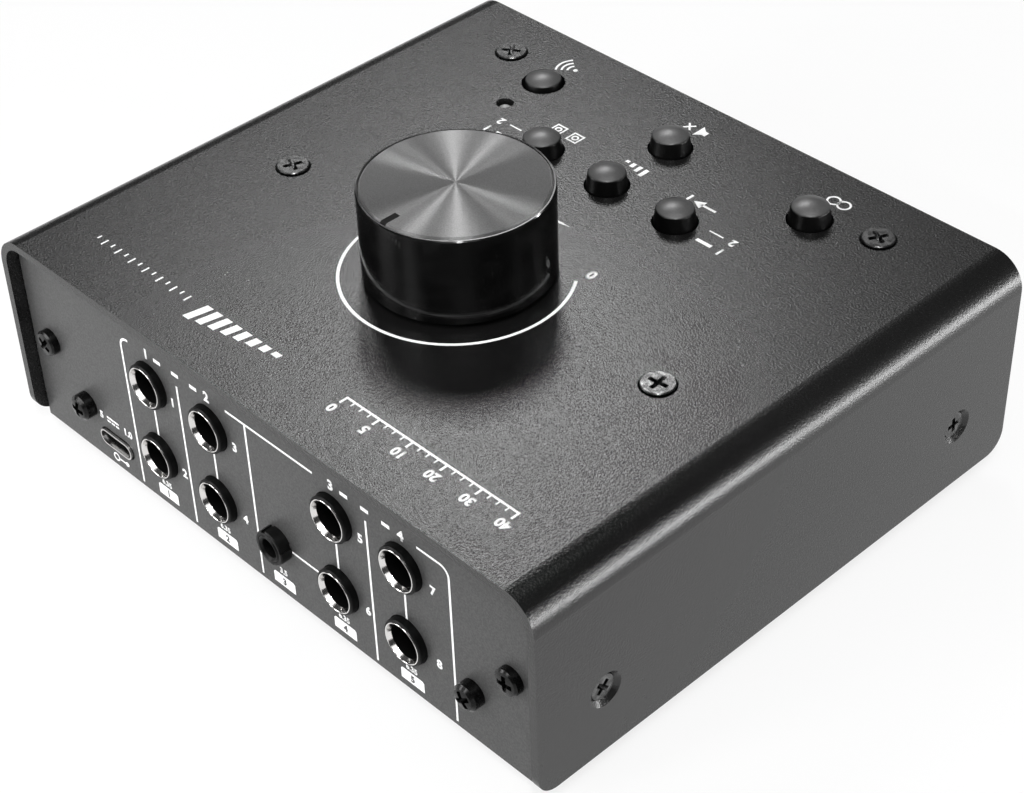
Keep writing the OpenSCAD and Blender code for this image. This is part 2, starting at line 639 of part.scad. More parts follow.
// Jack: a block behind the panel, a nose through it, a bore, and an open chamber for the springs
contact_at = bore_r + 0.6;
module jack(p) color(c_black) out_of_panel(p[0], p[1]) difference() {
  union() {
    translate([0, 0, -tray_t - jack_len]) linear_extrude(jack_len) rounded_rect(jack_w, jack_h, 1.2);
    translate([0, 0, -tray_t - 0.5]) cylinder(h = tray_t + nose_out + 0.3, r = nose_r, $fn = 96);
    translate([0, 0, nose_out - 0.2]) cylinder(h = 0.2, r1 = nose_r, r2 = nose_r - 0.2, $fn = 96);
  }
  translate([0, 0, nose_out - ferrule_l]) cylinder(h = ferrule_l + 1, r = ferrule_r, $fn = 96);
  translate([0, 0, -tray_t - jack_len + rear_wall + chamber_l - 1])
    cylinder(h = jack_len + 10, r = bore_r, $fn = 96);
  translate([-bore_r - 0.4, -jack_h / 2 - 1, -tray_t - jack_len + rear_wall])
    cube([2 * bore_r + 0.8, jack_h / 2 + 1 + contact_at + 0.9, chamber_l]);
  for (s = [-1, 1]) translate([-0.7, s * contact_at - 0.45, -tray_t - jack_len - 1])
    cube([1.4, 0.9, rear_wall + 2]);
}

// Bright liner in each jack's mouth: a flared sleeve whose thin lip stands just out of the nose
module jack_ferrules() color(c_metal) for (p = jack_spots) out_of_panel(p[0], p[1])
  translate([0, 0, nose_out - ferrule_l]) rotate_extrude($fn = 96) polygon([
    [bore_r + 0.02, 0], [ferrule_r - 0.12, ferrule_l + 0.05], [ferrule_r - 0.06, ferrule_l + 0.12],
    [ferrule_r + 0.04, ferrule_l + 0.12], [ferrule_r + 0.08, ferrule_l + 0.08],
    [ferrule_r + 0.08, ferrule_l], [ferrule_r, ferrule_l], [ferrule_r, 0]]);

// Two contact springs in each jack, with pins through the board, and the small socket's lugs
module jack_contacts() color(c_brass) {
  for (p = jack_spots) out_of_panel(p[0], p[1]) for (s = [-1, 1]) {
    translate([-0.5, s * contact_at - 0.25, -tray_t - jack_len - board_t - 1.2])
      cube([1, 0.5, board_t + 1.2 + rear_wall + 1.2]);
    translate([-1.3, s * contact_at - 0.2, -tray_t - jack_len + rear_wall + 0.6])
      cube([2.6, 0.4, chamber_l - 2.4]);
  }
  out_of_panel(aux_x, aux_z) for (a = [0, 120, 240]) rotate(a)
    translate([-0.9, 2.6, -tray_t - aux_len - 3.5]) cube([1.8, 0.5, 3.5]);
}

// Small socket: a threaded nose, a round body behind the panel and a blind bore
module aux_jack() color(c_black) out_of_panel(aux_x, aux_z) difference() {
  union() {
    translate([0, 0, -tray_t - aux_len]) cylinder(h = aux_len, r = aux_nose_r + 1.5, $fn = 96);
    translate([0, 0, -tray_t - 0.5]) cylinder(h = tray_t + 0.5 + aux_out - 0.3, r = aux_nose_r, $fn = 96);
    translate([0, 0, aux_out - 0.3]) cylinder(h = 0.3, r1 = aux_nose_r, r2 = aux_nose_r - 0.3, $fn = 96);
  }
  translate([0, 0, aux_out - 0.4]) cylinder(h = 1.4, r1 = aux_r, r2 = aux_r + 1.4, $fn = 64);
  translate([0, 0, -tray_t - aux_len + 1]) cylinder(h = aux_len + 20, r = aux_r, $fn = 64);
}

// Round nut of the small socket, with four spanner notches
module aux_nut() color(c_black) out_of_panel(aux_x, aux_z) difference() {
  union() {
    cylinder(h = aux_nut_h - 0.2, r = aux_nut_r, $fn = 96);
    translate([0, 0, aux_nut_h - 0.2]) cylinder(h = 0.2, r1 = aux_nut_r, r2 = aux_nut_r - 0.2, $fn = 96);
  }
  translate([0, 0, -1]) cylinder(h = aux_nut_h + 2, r = aux_nose_r + 0.02, $fn = 96);
  for (a = [20:90:290]) rotate(a) translate([aux_nut_r - 0.3, -0.45, -1]) cube([1, 0.9, aux_nut_h + 2]);
}

// Power socket: a folded shell with a tongue on its back wall
module power_shell() color(c_metal) out_of_panel(power_x, power_z) difference() {
  translate([0, 0, power_out - power_l]) linear_extrude(power_l) stadium(power_w, power_h);
  translate([0, 0, power_out - power_l + 0.8]) linear_extrude(power_l)
    stadium(power_w - 2 * power_wall, power_h - 2 * power_wall);
}

module power_tongue() color(c_black) out_of_panel(power_x, power_z)
  translate([-3.35, -0.35, power_out - power_l + 0.8]) cube([6.7, 0.7, power_l - 1.9]);

// Small board under the power socket
module power_board() color(c_board) difference() {
  translate([power_board_x[0], power_board_y[0], power_board_z])
    cube([power_board_x[1] - power_board_x[0], power_board_y[1] - power_board_y[0], board_t]);
  for (p = power_screw_spots) translate([p[0], p[1], power_board_z - 1])
    cylinder(h = board_t + 2, r = small_r + 0.2, $fn = 48);
}

module power_board_screws() color(c_metal) for (p = power_screw_spots)
  translate([p[0], p[1], power_board_z + board_t]) pan_screw(2.2, 1.5, small_r, 3.5);

// Wireless module: a small board with a shield can and a folded aerial
module wireless_module() color(c_metal)
  translate([power_board_x[0] + 1.5, power_board_y[0] + 1.5, power_board_z + board_t]) {
    cube([11, 15, 0.8]);
    translate([0.8, 4.5, 0.8]) cube([9.4, 9.7, 1.4]);
    for (x = [1:2:9]) translate([x, 1, 0.8]) cube([0.6, 2.4, 0.1]);
  }

// Flat cable from the control board down and back to the jack board
ribbon_r = 4;
module ribbon_cable() color(c_grey) translate([ribbon_x - ribbon_w / 2, 0, 0]) {
  translate([0, header_y - ribbon_t / 2, header_z + ribbon_r])
    cube([ribbon_w, ribbon_t, board_z - board_t - header_h - header_z - ribbon_r]);
  translate([0, header_y + ribbon_r, header_z + ribbon_r]) rotate([90, 0, 90]) linear_extrude(ribbon_w)
    mirror([1, 0]) fold_2d(ribbon_r + ribbon_t / 2, ribbon_t);
  translate([0, header_y + ribbon_r, header_z - ribbon_t / 2])
    cube([ribbon_w, jack_board_y - header_h - header_y - ribbon_r, ribbon_t]);
}

module ribbon_headers() color(c_black) {
  translate([ribbon_x - ribbon_w / 2 - 1, header_y - 2.5, board_z - board_t - header_h])
    cube([ribbon_w + 2, 5, header_h]);
  translate([ribbon_x - ribbon_w / 2 - 1, jack_board_y - header_h, header_z - 2.5])
    cube([ribbon_w + 2, header_h, 5]);
}

module wireless_button() button_cap(wireless_at);
module monitor_button() button_cap(monitor_at);
module dim_button() button_cap(dim_at);
module mute_button() button_cap(mute_at);
module input_button() button_cap(input_at);
module mono_button() button_cap(mono_at);
module wireless_stem() button_stem(wireless_at);
module monitor_stem() button_stem(monitor_at);
module dim_stem() button_stem(dim_at);
module mute_stem() button_stem(mute_at);
module input_stem() button_stem(input_at);
module mono_stem() button_stem(mono_at);

top_cover();
base_tray();
rear_panel();
rubber_feet();
cover_top_screws();
cover_side_screws();
panel_corner_screws();
panel_pillar_screws();
volume_knob();
knob_cap();
knob_pointer();
pot_shaft();
pot_body();
pot_washer();
pot_nut();
wireless_button();
monitor_button();
dim_button();
mute_button();
input_button();
mono_button();
wireless_stem();
monitor_stem();
dim_stem();
mute_stem();
input_stem();
mono_stem();
switch_body(wireless_at);  // wireless_switch
switch_body(monitor_at);  // monitor_switch
switch_body(dim_at);  // dim_switch
switch_body(mute_at);  // mute_switch
switch_body(input_at);  // input_switch
switch_body(mono_at);  // mono_switch
status_led();
led_spacer();
control_board();
board_standoffs();
board_screws();
jack_board();
jack_pillars();
jack(jack_spots[0]);  // jack_1
jack(jack_spots[1]);  // jack_2
jack(jack_spots[2]);  // jack_3
jack(jack_spots[3]);  // jack_4
jack(jack_spots[4]);  // jack_5
jack(jack_spots[5]);  // jack_6
jack(jack_spots[6]);  // jack_7
jack(jack_spots[7]);  // jack_8
jack_ferrules();
jack_contacts();
aux_jack();
aux_nut();
power_shell();
power_tongue();
power_board();
power_board_screws();
wireless_module();
ribbon_cable();
ribbon_headers();
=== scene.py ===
import json
from math import atan2, cos, hypot, pi, radians, sin

import bmesh
import bpy
from mathutils import Matrix, Vector


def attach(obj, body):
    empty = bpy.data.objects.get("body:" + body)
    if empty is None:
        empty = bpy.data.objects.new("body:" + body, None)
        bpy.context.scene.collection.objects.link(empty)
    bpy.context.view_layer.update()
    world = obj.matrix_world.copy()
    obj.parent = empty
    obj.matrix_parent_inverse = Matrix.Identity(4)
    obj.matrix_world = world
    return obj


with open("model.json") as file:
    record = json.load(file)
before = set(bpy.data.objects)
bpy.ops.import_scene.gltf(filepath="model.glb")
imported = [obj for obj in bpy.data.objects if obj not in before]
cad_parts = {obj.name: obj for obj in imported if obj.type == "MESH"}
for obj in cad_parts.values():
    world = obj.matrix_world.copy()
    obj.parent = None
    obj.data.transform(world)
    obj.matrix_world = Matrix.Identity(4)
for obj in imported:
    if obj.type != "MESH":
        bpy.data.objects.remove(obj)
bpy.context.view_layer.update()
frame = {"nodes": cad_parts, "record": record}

MM = 0.001
TOP = 43.0            # height of the cover's top, mm
PANEL = 54.1          # distance of the rear panel's face from the middle, mm
KNOB = (0.0, 9.2)     # axis of the knob, mm
CAP_TOP = 60.5        # height of the knob's cap, mm
INK = 0.03            # thickness of the printed ink, mm
INK_SUNK = 0.01       # depth that the ink reaches into the paint, mm
KNOB_FOOT = (KNOB[0] * MM, KNOB[1] * MM, 0)
KNOB_CAP = (KNOB[0] * MM, KNOB[1] * MM, CAP_TOP * MM)


# Shader maths

class Signal:
    """One socket of a finish. Arithmetic on it adds Math nodes."""

    def __init__(self, finish, socket):
        self.finish, self.socket = finish, socket

    def math(self, operation, *values):
        return self.finish.add("ShaderNodeMath", {"operation": operation}, dict(enumerate(values)))

    def __add__(self, other):
        return self.math("ADD", self, other)

    def __sub__(self, other):
        return self.math("SUBTRACT", self, other)

    def __mul__(self, other):
        return self.math("MULTIPLY", self, other)

    def __pow__(self, other):
        return self.math("POWER", self, other)

    __radd__ = __add__


class Finish:
    """A material and the nodes that make it."""

    def __init__(self, name):
        self.material = bpy.data.materials.new(name)
        self.material.use_nodes = True
        self.tree = self.material.node_tree
        self.tree.nodes.clear()

    def add(self, kind, settings=None, inputs=None, output=0):
        """Adds a node with its settings and inputs, and gives one of its outputs."""
        node = self.tree.nodes.new(kind)
        for key, value in (settings or {}).items():
            if key == "stops":
                while len(node.color_ramp.elements) < len(value):
                    node.color_ramp.elements.new(0.5)
                for stop, (at, level) in zip(node.color_ramp.elements, value):
                    stop.position, stop.color = at, (level, level, level, 1)
            else:
                setattr(node, key, value)
        for key, value in (inputs or {}).items():
            if isinstance(value, Signal):
                self.tree.links.new(value.socket, node.inputs[key])
            else:
                node.inputs[key].default_value = value
        return Signal(self, node.outputs[output]) if node.outputs else None

    def place(self, shift=(0, 0, 0), stretch=(1, 1, 1)):
        """Object coordinates in metres, shifted or stretched."""
        here = self.add("ShaderNodeTexCoord", output="Object")
        if (shift, stretch) == ((0, 0, 0), (1, 1, 1)):
            return here
        return self.add("ShaderNodeMapping", {"vector_type": "TEXTURE"},
                        {"Vector": here, "Location": shift, "Scale": stretch})

    def part(self, vector, axis):
        """One part of a vector: X, Y or Z."""
        return self.add("ShaderNodeSeparateXYZ", None, {"Vector": vector}, axis)

    def noise(self, here, per_metre, detail=2.0, rough=0.5):
        """Noise with so many grains to the metre."""
        return self.add("ShaderNodeTexNoise", None,
                        {"Vector": here, "Scale": per_metre, "Detail": detail, "Roughness": rough})

    def ramp(self, level, *stops):
        """Levels of grey that follow a value from 0 to 1."""
        return self.add("ShaderNodeValToRGB", {"stops": stops}, {"Fac": level})

    def blend(self, share, first, second):
        """A colour between two others."""
        return self.add("ShaderNodeMix", {"data_type": "RGBA"},
                        {0: share, 6: (*first, 1), 7: (*second, 1)}, 2)

    def bump(self, height, distance):
        """A normal that follows a height, whose step from 0 to 1 is a distance in metres."""
        return self.add("ShaderNodeBump", None, {"Height": height, "Distance": distance, "Strength": 1.0})

    def surface(self, **inputs):
        """Ends the finish in a Principled shader. Socket names are given with _ for a space."""
        look = self.add("ShaderNodeBsdfPrincipled", None, {k.replace("_", " "): v for k, v in inputs.items()})
        self.add("ShaderNodeOutputMaterial", None, {"Surface": look})
        return self.material


def grey(level, warmth=0.0):
    """A neutral colour, or one that leans to red."""
    return (level * (1 + warmth), level, level * (1 - warmth))


# Finishes

def textured_paint(name, shade, grain, depth, rough, gloss, heavy=None):
    """Powder coat: a fine pebbled skin with a slow change of gloss, its crests painted lighter as a painted
    highlight over patches of random tone.
    Heavy is a place where the coat lies thicker: its pebbles are deeper and glossier there."""
    f = Finish(name)
    here = f.place()
    pebbles = f.noise(here, grain, 2.5, 0.6)
    crests = f.ramp(pebbles, (0.36, 0.0), (0.66, 1.0))
    patches = f.noise(here, 60, 3.0, 0.55)
    dust = f.ramp(f.noise(here, 900, 1.0), (0.74, 0.0), (0.8, 1.0))
    # painted highlight: the crests of the pebbles are painted lighter
    crest_highlight_and_patches = crests * 0.75 + patches * 0.25
    roughness = rough + (patches - 0.5) * 0.03 - crests * 0.03 + dust * 0.05
    if heavy:
        away = f.add("ShaderNodeVectorMath", {"operation": "LENGTH"}, {0: f.place(heavy)}, "Value")
        thick = f.ramp(away * 10, (0.30, 1.0), (0.60, 0.0))
        roughness = roughness - thick * 0.13
        pebbles = pebbles * (thick * 0.5 + 1.0)
    return f.surface(
        Base_Color=f.blend(crest_highlight_and_patches, grey(shade * 0.72), grey(shade * 1.35)),
        Roughness=roughness, Normal=f.bump(pebbles, depth), IOR=gloss)


def gloss_knob():
    """Black gloss plastic, handled: faint smears, hair scratches round it and specks of dust."""
    f = Finish("knob_gloss_black")
    here = f.place(KNOB_FOOT)
    smears = f.ramp(f.noise(f.place(stretch=(1, 1, 0.5)), 110, 4.0, 0.6), (0.45, 0.0), (0.8, 1.0))
    hairs = f.ramp(f.noise(f.place(stretch=(1, 1, 0.02)), 120, 3.0, 0.7), (0.52, 0.0), (0.75, 1.0))
    specks = f.ramp(f.noise(here, 1500, 0.0), (0.79, 0.0), (0.84, 1.0))
    return f.surface(
        Base_Color=f.blend(smears * 0.5 + specks, grey(0.002), grey(0.009)),
        Roughness=0.10 + smears * 0.12 + hairs * 0.05,
        Normal=f.bump(hairs, 0.000004), IOR=1.36)


def spun_metal():
    """Turned aluminium: fine grooves round the knob's axis draw each lamp out into a pair of rays,
    and small breaks along the grooves make them glint."""
    f = Finish("knob_cap_aluminium")
    here = f.place(KNOB_FOOT)
    out, up = f.part(here, "X"), f.part(here, "Y")
    radius = (out * out + up * up) ** 0.5
    across = f.add("ShaderNodeCombineXYZ", None, {"X": radius})
    grooves = f.noise(across, 9000, 2.0, 0.6)
    breaks = f.noise(here, 4600, 1.0, 0.5)
    return f.surface(
        Base_Color=f.blend(grooves * 0.3 + breaks * 0.7, grey(0.13), grey(0.33)),
        Roughness=0.54 + breaks * 0.10,
        Metallic=1.0, Anisotropic=1.0, Anisotropic_Rotation=0.25,
        Normal=f.bump(grooves * 0.2 + breaks * 0.8, 0.00004))


def plated_metal(name, shade, rough, scratch):
    """Bright plated or plain metal with fine rubbing marks."""
    f = Finish(name)
    here = f.place()
    rubbed = f.noise(f.place(stretch=(1, 0.15, 1)), 1400, 3.0, 0.7)
    clouds = f.noise(here, 260, 3.0, 0.6)
    return f.surface(
        Base_Color=f.blend(clouds, grey(shade * 0.82, 0.01), grey(shade, 0.02)),
        Roughness=rough + rubbed * scratch,
        Metallic=1.0,
        Normal=f.bump(rubbed, 0.000003))


def blackened_steel(name, shade):
    """Black oxide on steel: dark, satin and greyer where it is rubbed. Painted shade: ambient occlusion
    darkens the colour to black down in the recess and where other parts close round it.
    """
    f = Finish(name)
    here = f.place()
    rubbed = f.ramp(f.noise(here, 900, 4.0, 0.65), (0.42, 0.0), (0.72, 1.0))
    grains = f.noise(here, 5200, 2.0, 0.6)
    # painted shade: the colour is darkened where the recess and nearby parts hide the sky
    painted_shade_occlusion = f.add("ShaderNodeAmbientOcclusion", {"samples": 8}, {"Distance": 0.0009}, "AO")
    clear_of_painted_shade = f.ramp(painted_shade_occlusion, (0.55, 0.0), (0.92, 1.0))
    return f.surface(
        Base_Color=f.blend(clear_of_painted_shade * (rubbed * 0.7 + 0.3), grey(0.004), grey(shade)),
        Roughness=0.20 + grains * 0.14 - rubbed * 0.05,
        Metallic=0.85,
        Normal=f.bump(grains, 0.000008))


def moulded(name, shade, rough, gloss=1.5, warmth=0.0):
    """Moulded plastic: spark-eroded skin, faint flow marks."""
    f = Finish(name)
    here = f.place()
    skin = f.noise(here, 3600, 2.0, 0.55)
    flow = f.noise(f.place(stretch=(1, 1, 0.35)), 170, 3.0, 0.5)
    return f.surface(
        Base_Color=f.blend(flow * 0.6 + skin * 0.4, grey(shade * 0.75, warmth), grey(shade * 1.25, warmth)),
        Roughness=rough + (skin - 0.5) * 0.12 + (flow - 0.5) * 0.08,
        Normal=f.bump(skin, 0.000012), IOR=gloss)


def sheen_painted_plastic(name, axis, pale):
    """Black plastic: matt and painted paler on the face along an axis, a painted sheen, and smooth and dark
    round it."""
    f = Finish(name)
    skin = f.noise(f.place(), 3600, 2.0, 0.55)
    facing = f.add("ShaderNodeTexCoord", output="Normal")
    face = f.ramp(f.part(facing, axis), (0.5, 0.0), (0.93, 1.0))
    return f.surface(
        # painted sheen: the colour is paler on faces that point along the axis
        Base_Color=f.blend(face * (skin * 0.6 + 0.4), grey(0.002), grey(pale)),
        Roughness=0.32 + face * 0.12 + (skin - 0.5) * 0.12,
        Coat_Weight=face, Coat_Roughness=0.36, Coat_IOR=1.6,
        Normal=f.bump(skin, 0.00003), IOR=1.33)


def soft_rubber():
    """Foot rubber: dull, a little dusty, with a granular face."""
    f = Finish("foot_rubber")
    here = f.place()
    grains = f.noise(here, 2600, 3.0, 0.65)
    dust = f.ramp(f.noise(here, 220, 4.0, 0.6), (0.45, 0.0), (0.75, 1.0))
    return f.surface(
        Base_Color=f.blend(dust * 0.6 + grains * 0.2, grey(0.016), grey(0.06)),
        Roughness=0.78 + dust * 0.12,
        Normal=f.bump(grains, 0.00003))


def circuit_board():
    """Green solder mask over glass weave, with paler copper areas under it."""
    f = Finish("board_solder_mask")
    here = f.place()
    copper = f.ramp(f.add("ShaderNodeTexBrick", {"offset": 0.35},
                          {"Vector": here, "Scale": 260.0, "Mortar Size": 0.012,
                           "Color1": (1, 1, 1, 1), "Color2": (0.7, 0.7, 0.7, 1), "Mortar": (0, 0, 0, 1)}),
                    (0.1, 0.0), (0.6, 1.0))
    weave = f.noise(here, 1800, 2.0)
    return f.surface(
        Base_Color=f.blend(copper * 0.7 + weave * 0.3, (0.008, 0.05, 0.02), (0.02, 0.13, 0.05)),
        Roughness=0.28 + weave * 0.12,
        Normal=f.bump(copper, 0.00002))


def light_lens():
    """Milky lens of the light, a little cloudy."""
    f = Finish("light_lens_milky")
    here = f.place()
    haze = f.noise(here, 900, 2.0)
    return f.surface(
        Base_Color=f.blend(haze, grey(0.35), grey(0.55)),
        Roughness=0.14 + haze * 0.1,
        Normal=f.bump(haze, 0.000006),
        Transmission_Weight=0.25, Coat_Weight=0.5)


def ribbon_plastic():
    """Grey flat cable with the ridges of its wires."""
    f = Finish("ribbon_grey")
    here = f.place()
    ridges = f.add("ShaderNodeTexWave", {"bands_direction": "X"},
                   {"Vector": here, "Scale": 250.0, "Distortion": 0.0})
    haze = f.noise(here, 400, 3.0)
    return f.surface(
        Base_Color=f.blend(ridges * 0.6 + haze * 0.4, grey(0.22), grey(0.38)),
        Roughness=0.45 + haze * 0.1,
        Normal=f.bump(ridges, 0.00015))


def print_ink(name, shade):
    """Screen-printed ink over the paint: it follows the pebbles and thins on some crests."""
    f = Finish(name)
    here = f.place()
    pebbles = f.noise(here, 2300, 2.0, 0.6)
    thin = f.ramp(f.noise(here, 1500, 3.0, 0.6), (0.62, 0.0), (0.8, 1.0))
    return f.surface(
        Base_Color=f.blend(thin * 0.6, grey(shade), grey(shade * 0.72)),
        Roughness=0.46 + pebbles * 0.14,
        Normal=f.bump(pebbles, 0.000012))


thick_coat = (-0.025, 0.042, TOP * MM)
cover_paint = textured_paint("cover_powder_coat", 0.006, 2700, 0.000050, 0.29, 1.5, thick_coat)
panel_paint = textured_paint("panel_powder_coat", 0.060, 3100, 0.000018, 0.36, 1.27)
white_ink = print_ink("white_print", 0.95)
dark_ink = print_ink("dark_print", 0.05)

finishes = {
    "case_paint": cover_paint,
    "rubber": soft_rubber(),
    "black_steel": blackened_steel("screw_black_oxide", 0.17),
    "knob_gloss": gloss_knob(),
    "spun_aluminium": spun_metal(),
    "black_plastic": moulded("black_plastic_satin", 0.005, 0.36, 1.22),
    "bright_steel": plated_metal("bright_steel", 0.62, 0.18, 0.14),
    "grey_steel": plated_metal("grey_steel", 0.42, 0.28, 0.18),
    # button crowns painted paler on top: a painted sheen
    "button_plastic": sheen_painted_plastic("button_plastic_satin", "Z", 0.085),
    "white_plastic": moulded("white_plastic", 0.72, 0.42, warmth=0.01),
    "switch_plastic": moulded("switch_plastic_grey", 0.09, 0.5),
    "lens": light_lens(),
    "board": circuit_board(),
    "brass": plated_metal("brass_pins", 0.55, 0.24, 0.12),
    "jack_plastic": moulded("jack_plastic_black", 0.003, 0.38, 1.2),
    "jack_plating": plated_metal("jack_ring_nickel", 0.80, 0.10, 0.10),
    "grey_flex": ribbon_plastic(),
}
panel_screw_steel = blackened_steel("panel_screw_black_oxide", 0.025)
single_finishes = {
    "rear_panel": panel_paint,
    "panel_corner_screws": panel_screw_steel,
    "panel_pillar_screws": panel_screw_steel,
    "knob_pointer": textured_paint("pointer_black", 0.004, 3000, 0.000006, 0.6, 1.2),
    # front of the tongue painted pale: a painted highlight
    "power_tongue": sheen_painted_plastic("power_tongue_plastic", "Y", 0.75),
}
for part in frame["record"]["subparts"]:
    node = frame["nodes"][part["node"]]
    finish = single_finishes.get(part["node"], finishes[part["material_slot"]])
    for held in node.material_slots:
        held.material = finish


# Printed marks: drawn flat in millimetres as their reader sees them, then laid on the cover or the panel.

on_cover = Matrix.Translation((0, 0, TOP * MM)) @ Matrix.Diagonal((MM, MM, MM, 1))
on_panel = (Matrix.Translation((0, PANEL * MM, 0))
            @ Matrix(((-1, 0, 0, 0), (0, 0, 1, 0), (0, 1, 0, 0), (0, 0, 0, 1)))
            @ Matrix.Diagonal((MM, MM, MM, 1)))


def bar(art, start, end, width):
    """A straight line between two points."""
    (u0, v0), (u1, v1) = start, end
    lie = (Matrix.Translation(((u0 + u1) / 2, (v0 + v1) / 2, 0))
           @ Matrix.Rotation(atan2(v1 - v0, u1 - u0), 4, "Z")
           @ Matrix.Diagonal((hypot(u1 - u0, v1 - v0), width, 1, 1)))
    bmesh.ops.create_grid(art, x_segments=1, y_segments=1, size=0.5, matrix=lie)


def arc(art, centre, radius, width, start, sweep):
    """An arc, in degrees from the right and turning left. A sweep of 360 is a ring."""
    a = radians(start)
    ends = [art.verts.new((centre[0] + r * cos(a), centre[1] + r * sin(a), 0))
            for r in (radius - width / 2, radius + width / 2)]
    edge = art.edges.new(ends)
    bmesh.ops.spin(art, geom=[*ends, edge], cent=(*centre, 0), axis=(0, 0, 1), angle=radians(sweep),
                   steps=max(6, round(abs(sweep) / 4)), use_merge=abs(sweep) == 360)


def dot(art, centre, radius):
    """A filled circle."""
    bmesh.ops.create_circle(art, cap_ends=True, segments=20, radius=radius,
                            matrix=Matrix.Translation((*centre, 0)))


def patch(art, *corners):
    """A filled shape with straight sides."""
    art.faces.new([art.verts.new((u, v, 0)) for u, v in corners])


def number(art, figures, centre, height):
    """A number, as tall as asked and centred on a point."""
    curve = bpy.data.curves.new("number", "FONT")
    curve.body, curve.resolution_u, curve.offset = figures, 3, 0.04
    carrier = bpy.data.objects.new("number", curve)
    mesh = bpy.data.meshes.new_from_object(carrier)
    bpy.data.objects.remove(carrier)
    before = len(art.verts)
    art.from_mesh(mesh)
    bpy.data.meshes.remove(mesh)
    art.verts.ensure_lookup_table()
    new = art.verts[before:]
    lows, highs = [[pick(v.co[i] for v in new) for i in (0, 1)] for pick in (min, max)]
    bmesh.ops.translate(art, verts=new, vec=(-(lows[0] + highs[0]) / 2, -(lows[1] + highs[1]) / 2, 0))
    bmesh.ops.scale(art, verts=new, vec=(height / (highs[1] - lows[1]),) * 3)
    bmesh.ops.translate(art, verts=new, vec=(*centre, 0))


def printed(name, art, lie, ink, lift=0.0):
    """Gives flat artwork the thickness of ink, lays it in its place and lets the housing carry it."""
    raised = bmesh.ops.extrude_face_region(art, geom=[*art.verts, *art.edges, *art.faces], use_keep_orig=True)
    bmesh.ops.translate(art, verts=[g for g in raised["geom"] if isinstance(g, bmesh.types.BMVert)],
                        vec=(0, 0, INK + INK_SUNK))
    bmesh.ops.translate(art, verts=art.verts, vec=(0, 0, lift - INK_SUNK))
    bmesh.ops.recalc_face_normals(art, faces=art.faces)
    art.transform(lie)
    mesh = bpy.data.meshes.new(name)
    art.to_mesh(mesh)
    art.free()
    mesh.materials.append(ink)
    piece = bpy.data.objects.new(name, mesh)
    bpy.context.scene.collection.objects.link(piece)
    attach(piece, "housing")


def knob_scale():
    """The arc round the knob with its end numbers, and a rising wedge in front of it."""
    art = bmesh.new()
    arc(art, (KNOB[0] + 0.2, KNOB[1] + 0.45), 19.8, 0.55, 90 - 125.5, 251)
    number(art, "0", (-16.6, -4.8), 2.3)
    number(art, "10", (16.8, -4.8), 2.3)
    patch(art, (-4.6, -12.1), (4.6, -12.1), (4.6, -9.9))
    printed("knob_scale_print", art, on_cover, white_ink)


def button_marks():
    """A sign beside each button for what it does."""
    art = bmesh.new()
    # two rings over each other: both channels together
    arc(art, (-33.6, -48.7), 1.15, 0.38, 0, 360)
    arc(art, (-31.4, -48.7), 1.15, 0.38, 0, 360)
    # arrow into a wall: source
    bar(art, (-19.2, -32.2), (-15.9, -32.2), 0.5)
    patch(art, (-16.3, -33.3), (-14.2, -32.2), (-16.3, -31.1))
    bar(art, (-13.0, -33.4), (-13.0, -31.0), 0.5)
    # falling steps: quieter
    for step in range(4):
        u = -2.1 + step * 1.5
        bar(art, (u, -33.6), (u, -33.6 + 2.3 - step * 0.55), 0.8)
    # two boxes with cones: loudspeakers
    for u in (14.4, 18.6):
        for start, end in (((-1.3, -1.2), (1.3, -1.2)), ((-1.3, 1.2), (1.3, 1.2))):
            bar(art, (u + start[0], -32.2 + start[1]), (u + end[0], -32.2 + end[1]), 0.34)
        for side in (-1.13, 1.13):
            bar(art, (u + side, -33.23), (u + side, -31.17), 0.34)
        arc(art, (u, -32.2), 0.55, 0.34, 0, 360)
    # horn with a cross: silence
    patch(art, (-1.9, -49.7), (-1.1, -49.7), (0.1, -50.7), (0.1, -47.4), (-1.1, -48.4), (-1.9, -48.4))
    bar(art, (1.4, -49.9), (3.0, -48.1), 0.38)
    bar(art, (1.4, -48.1), (2.05, -48.83), 0.38)
    bar(art, (2.35, -49.17), (3.0, -49.9), 0.38)
    # waves from a point: wireless
    dot(art, (30.6, -48.6), 0.45)
    for r in (1.5, 2.6, 3.7):
        arc(art, (30.6, -48.6), r, 0.42, -38, 76)
    # in and out places of the two selectors, with their numbers
    bar(art, (-22.1, -24.2), (-25.4, -24.2), 0.75)
    bar(art, (-22.1, -27.5), (-25.2, -27.5), 0.28)
    number(art, "1", (-27.4, -24.1), 1.9)
    number(art, "2", (-27.3, -27.4), 1.9)
    bar(art, (22.9, -23.9), (26.1, -23.9), 0.75)
    bar(art, (23.1, -27.3), (26.0, -27.3), 0.28)
    number(art, "1", (28.3, -23.8), 1.9)
    number(art, "2", (28.1, -27.0), 1.9)
    printed("button_marks_print", art, on_cover, white_ink)


def level_marks():
    """Along the rear edge of the cover: rising bars, and a ruled scale of levels."""
    art = bmesh.new()
    foot, wide = 44.3, 1.5
    for step in range(8):
        u, tall = 3.6 + step * 2.5, 1.0 + step * 0.5
        lean = tall * 0.2
        patch(art, (u, foot), (u + wide, foot), (u + wide + lean, foot + tall), (u + lean, foot + tall))
    for tick in range(14):
        u = 26.6 + tick * 1.9
        bar(art, (u, 44.6), (u, 45.5 if tick % 2 else 46.2), 0.3)
    bar(art, (-50.0, 44.0), (-11.6, 44.0), 0.4)
    for tick, level in enumerate(("40", "30", "20", "10", "5", "0")):
        u = -49.8 + tick * 7.6
        bar(art, (u, 44.2), (u, 45.6), 0.4)
        number(art, level, (u, 47.2), 2.0)
        if tick < 5:
            for part in (1, 2, 3):
                bar(art, (u + part * 1.9, 44.2), (u + part * 1.9, 45.0), 0.26)
    printed("level_marks_print", art, on_cover, white_ink)


